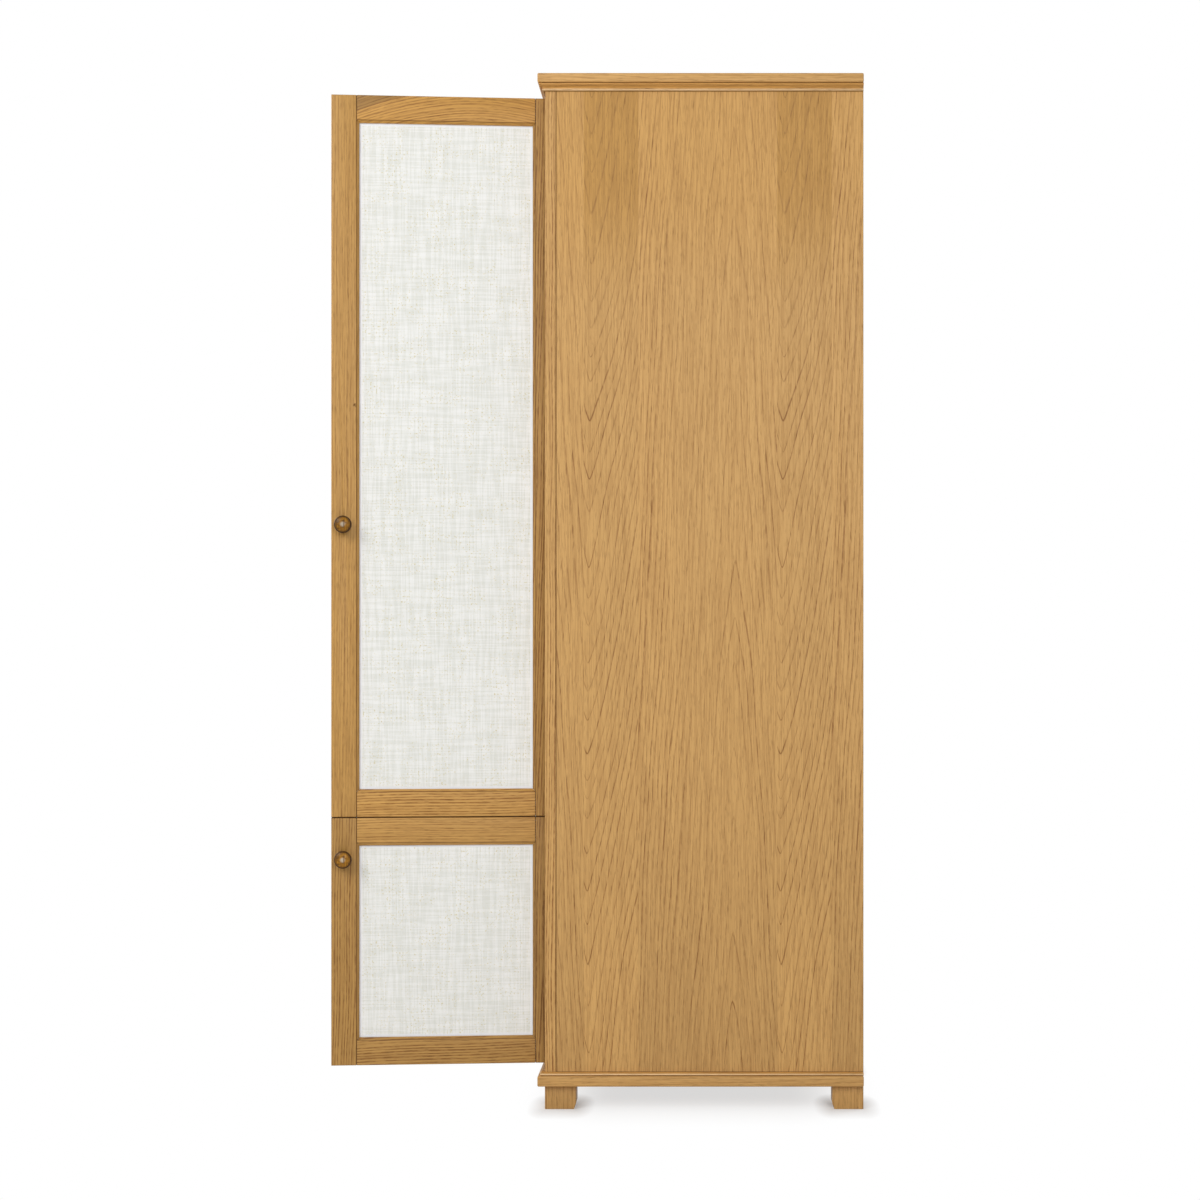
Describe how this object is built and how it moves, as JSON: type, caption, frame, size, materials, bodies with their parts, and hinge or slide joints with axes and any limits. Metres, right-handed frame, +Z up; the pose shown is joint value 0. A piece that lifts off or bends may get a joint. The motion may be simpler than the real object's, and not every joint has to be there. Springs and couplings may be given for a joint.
{
  "type": "tall cabinet",
  "caption": "Tall narrow oak cabinet on square feet, with stacked framed linen doors on concealed hinges, shelves inside, and a moulded top and base.",
  "frame": {"origin": "on the floor, under the middle of the bounding box with the doors open as pictured", "axes": "+Z up; the cabinet's front faces -Y; +X is the cabinet's hinge side, on the right of someone who looks along +Y at the doors"},
  "size_m": [0.5166, 0.9782, 1.9],
  "materials": {
    "oak": "satin lacquered oak, upright grain",
    "knob_oak": "darker turned oak, satin",
    "linen": "natural off-white linen, plain weave with slubs",
    "panel_board": "plain plywood",
    "steel": "nickel plated"
  },
  "bodies": {
    "carcase": {"top_slab": "oak", "cornice_front": "oak", "cornice_left": "oak", "cornice_right": "oak", "top_rail": "oak", "left_side_panel": "oak", "right_side_panel": "oak", "left_front_stile": "oak", "right_front_stile": "oak", "back_panel": "oak", "middle_shelf": "oak", "bottom_board": "oak", "base_bead_front": "oak", "base_bead_left": "oak", "base_bead_right": "oak", "base_slab": "oak", "front_left_foot": "oak", "front_right_foot": "oak", "rear_left_foot": "oak", "rear_right_foot": "oak", "upper_shelf_1": "oak", "upper_shelf_1_left_bearer": "oak", "upper_shelf_1_right_bearer": "oak", "upper_shelf_2": "oak", "upper_shelf_2_left_bearer": "oak", "upper_shelf_2_right_bearer": "oak", "lower_shelf_1": "oak", "lower_shelf_1_left_bearer": "oak", "lower_shelf_1_right_bearer": "oak", "upper_door_hinge_arm_1": "steel", "upper_door_hinge_arm_2": "steel", "upper_door_hinge_arm_3": "steel", "lower_door_hinge_arm_1": "steel", "lower_door_hinge_arm_2": "steel"},
    "upper_door": {"upper_door_hinge_stile": "oak", "upper_door_free_stile": "oak", "upper_door_top_rail": "oak", "upper_door_bottom_rail": "oak", "upper_door_linen": "linen", "upper_door_panel_board": "panel_board", "upper_door_knob": "knob_oak", "upper_door_knob_screw": "steel", "upper_door_hinge_cup_1": "steel", "upper_door_hinge_pin_1": "steel", "upper_door_hinge_cup_2": "steel", "upper_door_hinge_pin_2": "steel", "upper_door_hinge_cup_3": "steel", "upper_door_hinge_pin_3": "steel"},
    "lower_door": {"lower_door_hinge_stile": "oak", "lower_door_free_stile": "oak", "lower_door_top_rail": "oak", "lower_door_bottom_rail": "oak", "lower_door_linen": "linen", "lower_door_panel_board": "panel_board", "lower_door_knob": "knob_oak", "lower_door_knob_screw": "steel", "lower_door_hinge_cup_1": "steel", "lower_door_hinge_pin_1": "steel", "lower_door_hinge_cup_2": "steel", "lower_door_hinge_pin_2": "steel"}
  },
  "joints": [
    {"name": "upper_door_hinge", "type": "hinge", "parent": "carcase", "child": "upper_door", "pos_m": [0.1842, -0.08539, 1.2], "axis": [0, 0, 1], "range_deg": [-95, 0]},
    {"name": "lower_door_hinge", "type": "hinge", "parent": "carcase", "child": "lower_door", "pos_m": [0.1842, -0.08539, 0.307], "axis": [0, 0, 1], "range_deg": [-95, 0]}
  ]
}
